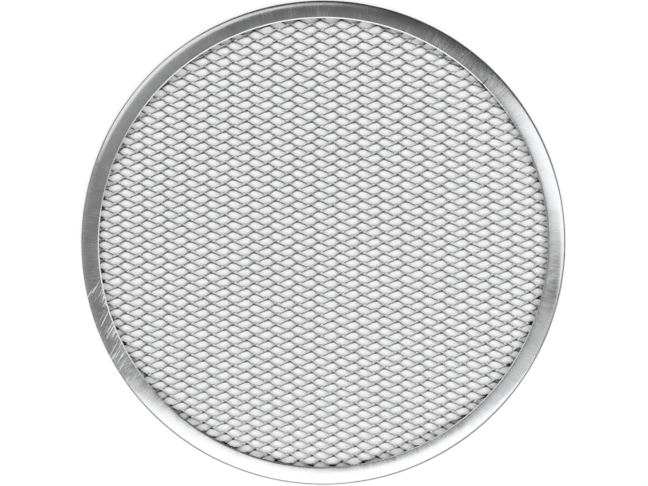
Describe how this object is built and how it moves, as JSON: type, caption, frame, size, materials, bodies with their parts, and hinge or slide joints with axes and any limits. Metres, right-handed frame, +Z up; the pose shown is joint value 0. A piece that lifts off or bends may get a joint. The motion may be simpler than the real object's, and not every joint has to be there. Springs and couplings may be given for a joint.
{
  "type": "pizza screen",
  "caption": "Round flat baking screen: a disc of raised expanded aluminium with diamond openings, gripped all round in a folded aluminium rim, for baking pizza so that heat reaches the base.",
  "frame": {"origin": "on the surface that the rim rests on, under the centre of the disc", "axes": "+Z up through the disc, +X along the long way of the openings, +Y along their short way, the side that the strands lean to"},
  "size_m": [0.28, 0.28, 0.0056],
  "materials": {
    "rim": "satin rolled sheet with fine brushing and light handling scratches",
    "mesh": "mill finish sheet with bright sheared edges"
  },
  "bodies": {
    "root": {"rim": "rim", "expanded_mesh": "mesh"}
  },
  "joints": []
}
